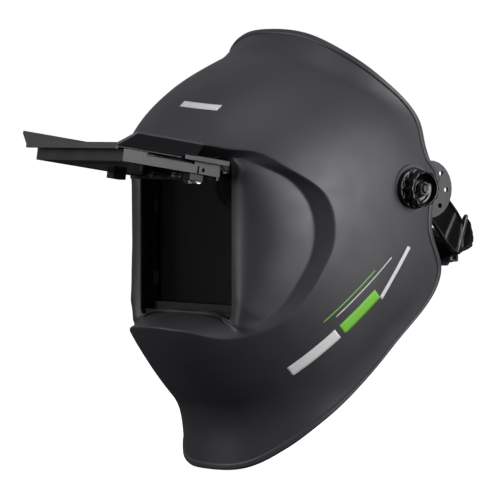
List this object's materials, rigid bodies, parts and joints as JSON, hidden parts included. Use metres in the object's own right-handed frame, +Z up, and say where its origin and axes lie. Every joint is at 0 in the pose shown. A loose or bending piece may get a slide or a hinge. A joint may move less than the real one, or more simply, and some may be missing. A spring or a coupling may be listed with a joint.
{
  "type": "welding helmet",
  "caption": "Welding helmet with a recessed face window, a flip-up visor holding a dark filter cartridge, side clamp knobs and an adjustable headgear with rear ratchet.",
  "frame": {"origin": "middle of the tilt-pivot axis, between the wearer's temples", "axes": "+Z up, -Y the way the wearer faces, +X to the wearer's left along the pivot axis"},
  "size_m": [0.2628, 0.3843, 0.3495],
  "materials": {
    "shell_plastic": "fine-grained satin black nylon",
    "satin_plastic": "satin dark grey moulded nylon",
    "black_plastic": "matte black moulded plastic",
    "gloss_plastic": "glossy black moulded plastic",
    "steel": "bright zinc-plated steel",
    "clear_lens": "clear polycarbonate",
    "dark_glass": "dark coated glass",
    "rubber": "matte black elastomer",
    "pad_fabric": "black brushed knit over foam",
    "board": "green solder mask"
  },
  "bodies": {
    "shell": {"helmet_shell": "shell_plastic", "window_frame": "black_plastic", "grinding_lens": "clear_lens", "lens_seal": "rubber", "hinge_pin": "steel", "lens_clip_upper_left": "satin_plastic", "lens_clip_upper_right": "satin_plastic", "lens_clip_lower_left": "satin_plastic", "lens_clip_lower_right": "satin_plastic", "hinge_block_left": "black_plastic", "hinge_block_right": "black_plastic", "hinge_bracket_left": "steel", "hinge_bracket_right": "steel"},
    "visor": {"visor_cover": "shell_plastic", "cartridge_tray": "satin_plastic", "filter_housing": "black_plastic", "dark_filter": "dark_glass", "solar_cell": "dark_glass", "circuit_board": "board", "electronics_cover": "satin_plastic", "battery_cover": "satin_plastic", "front_cover_lens": "clear_lens", "inner_cover_lens": "clear_lens", "detent_spring": "steel", "arc_sensor_left": "dark_glass", "arc_sensor_right": "dark_glass", "battery_left": "steel", "battery_right": "steel", "catch_block_left": "black_plastic", "catch_block_right": "black_plastic"},
    "dial": {"shade_dial": "satin_plastic"},
    "slider": {"mode_slider": "satin_plastic"},
    "headgear": {"head_band": "black_plastic", "sweat_pad": "pad_fabric", "crown_strap_left": "black_plastic", "crown_strap_right": "black_plastic", "crown_button": "satin_plastic", "spring_collar_left": "satin_plastic", "spring_collar_right": "satin_plastic", "pivot_nut_left": "satin_plastic", "pivot_nut_right": "satin_plastic", "pivot_bolt_left": "steel", "pivot_bolt_right": "steel", "pivot_spacer_left": "black_plastic", "pivot_spacer_right": "black_plastic", "friction_washer_left": "rubber", "friction_washer_right": "rubber", "side_plate_left": "satin_plastic", "side_plate_right": "satin_plastic"},
    "knob_left": {"clamp_knob_left": "gloss_plastic"},
    "knob_right": {"clamp_knob_right": "gloss_plastic"},
    "neck": {"neck_strap_left": "gloss_plastic", "neck_strap_right": "gloss_plastic", "rear_cradle": "satin_plastic", "neck_pad": "pad_fabric"},
    "ratchet": {"ratchet_knob": "satin_plastic", "ratchet_pinion": "satin_plastic"},
    "size_rack_left": {"rack_left": "black_plastic"},
    "size_rack_right": {"rack_right": "black_plastic"}
  },
  "joints": [
    {"name": "helmet_tilt", "type": "hinge", "parent": "headgear", "child": "shell", "pos_m": [0, 0, 0], "axis": [-1, 0, 0], "range_deg": [0, 70]},
    {"name": "visor_flip", "type": "hinge", "parent": "shell", "child": "visor", "pos_m": [0, -0.141, 0.017], "axis": [1, 0, 0], "range_deg": [0, 98]},
    {"name": "shade_turn", "type": "hinge", "parent": "visor", "child": "dial", "pos_m": [0.018, -0.15927, 0.00956], "axis": [0, 0.1444, 0.9895], "range_deg": [-135, 135]},
    {"name": "mode_slide", "type": "slide", "parent": "visor", "child": "slider", "axis": [1, 0, 0], "range_m": [0, 0.005]},
    {"name": "clamp_left_turn", "type": "hinge", "parent": "headgear", "child": "knob_left", "pos_m": [0.123, 0, 0], "axis": [1, 0, 0], "range_deg": [0, 540]},
    {"name": "clamp_right_turn", "type": "hinge", "parent": "headgear", "child": "knob_right", "pos_m": [-0.123, 0, 0], "axis": [1, 0, 0], "range_deg": [-540, 0]},
    {"name": "neck_tilt", "type": "hinge", "parent": "headgear", "child": "neck", "pos_m": [0, 0.03, -0.001], "axis": [1, 0, 0], "range_deg": [-15, 15]},
    {"name": "ratchet_turn", "type": "hinge", "parent": "neck", "child": "ratchet", "pos_m": [0, 0.1305, -0.052], "axis": [0, 1, 0], "range_deg": [-70, 70]},
    {"name": "rack_left_slide", "type": "slide", "parent": "neck", "child": "size_rack_left", "axis": [1, 0, 0], "range_m": [-0.0075, 0.0075]},
    {"name": "rack_right_slide", "type": "slide", "parent": "neck", "child": "size_rack_right", "axis": [1, 0, 0], "range_m": [-0.0075, 0.0075]}
  ],
  "couplings": [
    {"joint": "rack_left_slide", "follows": "ratchet_turn", "m_per_rad": 0.006},
    {"joint": "rack_right_slide", "follows": "ratchet_turn", "m_per_rad": -0.006}
  ]
}
